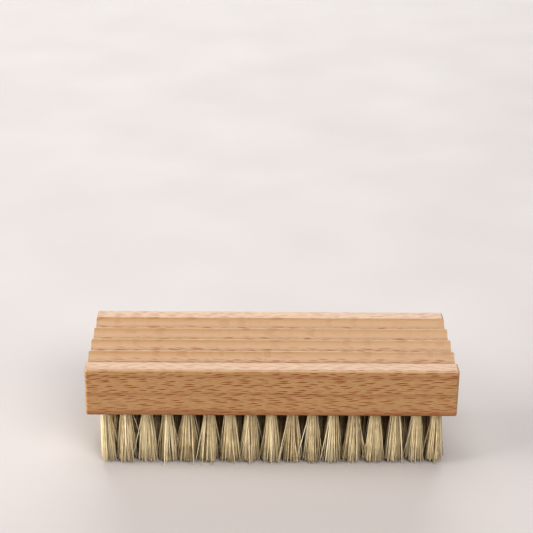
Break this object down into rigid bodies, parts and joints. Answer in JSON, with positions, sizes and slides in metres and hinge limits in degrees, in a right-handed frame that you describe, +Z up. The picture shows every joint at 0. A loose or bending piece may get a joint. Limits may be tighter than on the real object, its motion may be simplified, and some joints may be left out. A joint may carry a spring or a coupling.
{
  "type": "nail brush",
  "caption": "Rectangular wooden nail brush with lengthwise finger flutes on top and staggered rows of flared plant-fibre tufts below, each tuft held in a blind hole by a flat wire anchor.",
  "frame": {"origin": "centre of the plane of the bristle tips, on which the brush stands", "axes": "+X along the block and the wood grain, +Y from the front row to the back row, +Z up from the bristle tips to the fluted top"},
  "size_m": [0.095, 0.036, 0.029],
  "materials": {
    "beech": "sanded, unvarnished beech with short dark flecks along the grain",
    "fibre": "bleached cream plant fibre, slightly glossy",
    "anchor_wire": "flat drawn wire, plain"
  },
  "bodies": {
    "root": {"anchor_row_1": "anchor_wire", "anchor_row_2": "anchor_wire", "anchor_row_3": "anchor_wire", "anchor_row_4": "anchor_wire", "anchor_row_5": "anchor_wire", "anchor_row_6": "anchor_wire", "anchor_row_7": "anchor_wire", "block": "beech", "tuft_column_01": "fibre", "tuft_column_02": "fibre", "tuft_column_03": "fibre", "tuft_column_04": "fibre", "tuft_column_05": "fibre", "tuft_column_06": "fibre", "tuft_column_07": "fibre", "tuft_column_08": "fibre", "tuft_column_09": "fibre", "tuft_column_10": "fibre", "tuft_column_11": "fibre", "tuft_column_12": "fibre", "tuft_column_13": "fibre", "tuft_column_14": "fibre", "tuft_column_15": "fibre", "tuft_column_16": "fibre", "tuft_column_17": "fibre", "tuft_column_18": "fibre", "tuft_column_19": "fibre", "tuft_column_20": "fibre", "tuft_column_21": "fibre", "tuft_column_22": "fibre", "tuft_column_23": "fibre", "tuft_column_24": "fibre", "tuft_column_25": "fibre", "tuft_column_26": "fibre", "tuft_column_27": "fibre", "tuft_column_28": "fibre", "tuft_column_29": "fibre", "tuft_column_30": "fibre", "tuft_column_31": "fibre", "tuft_column_32": "fibre", "tuft_column_33": "fibre"}
  },
  "joints": []
}
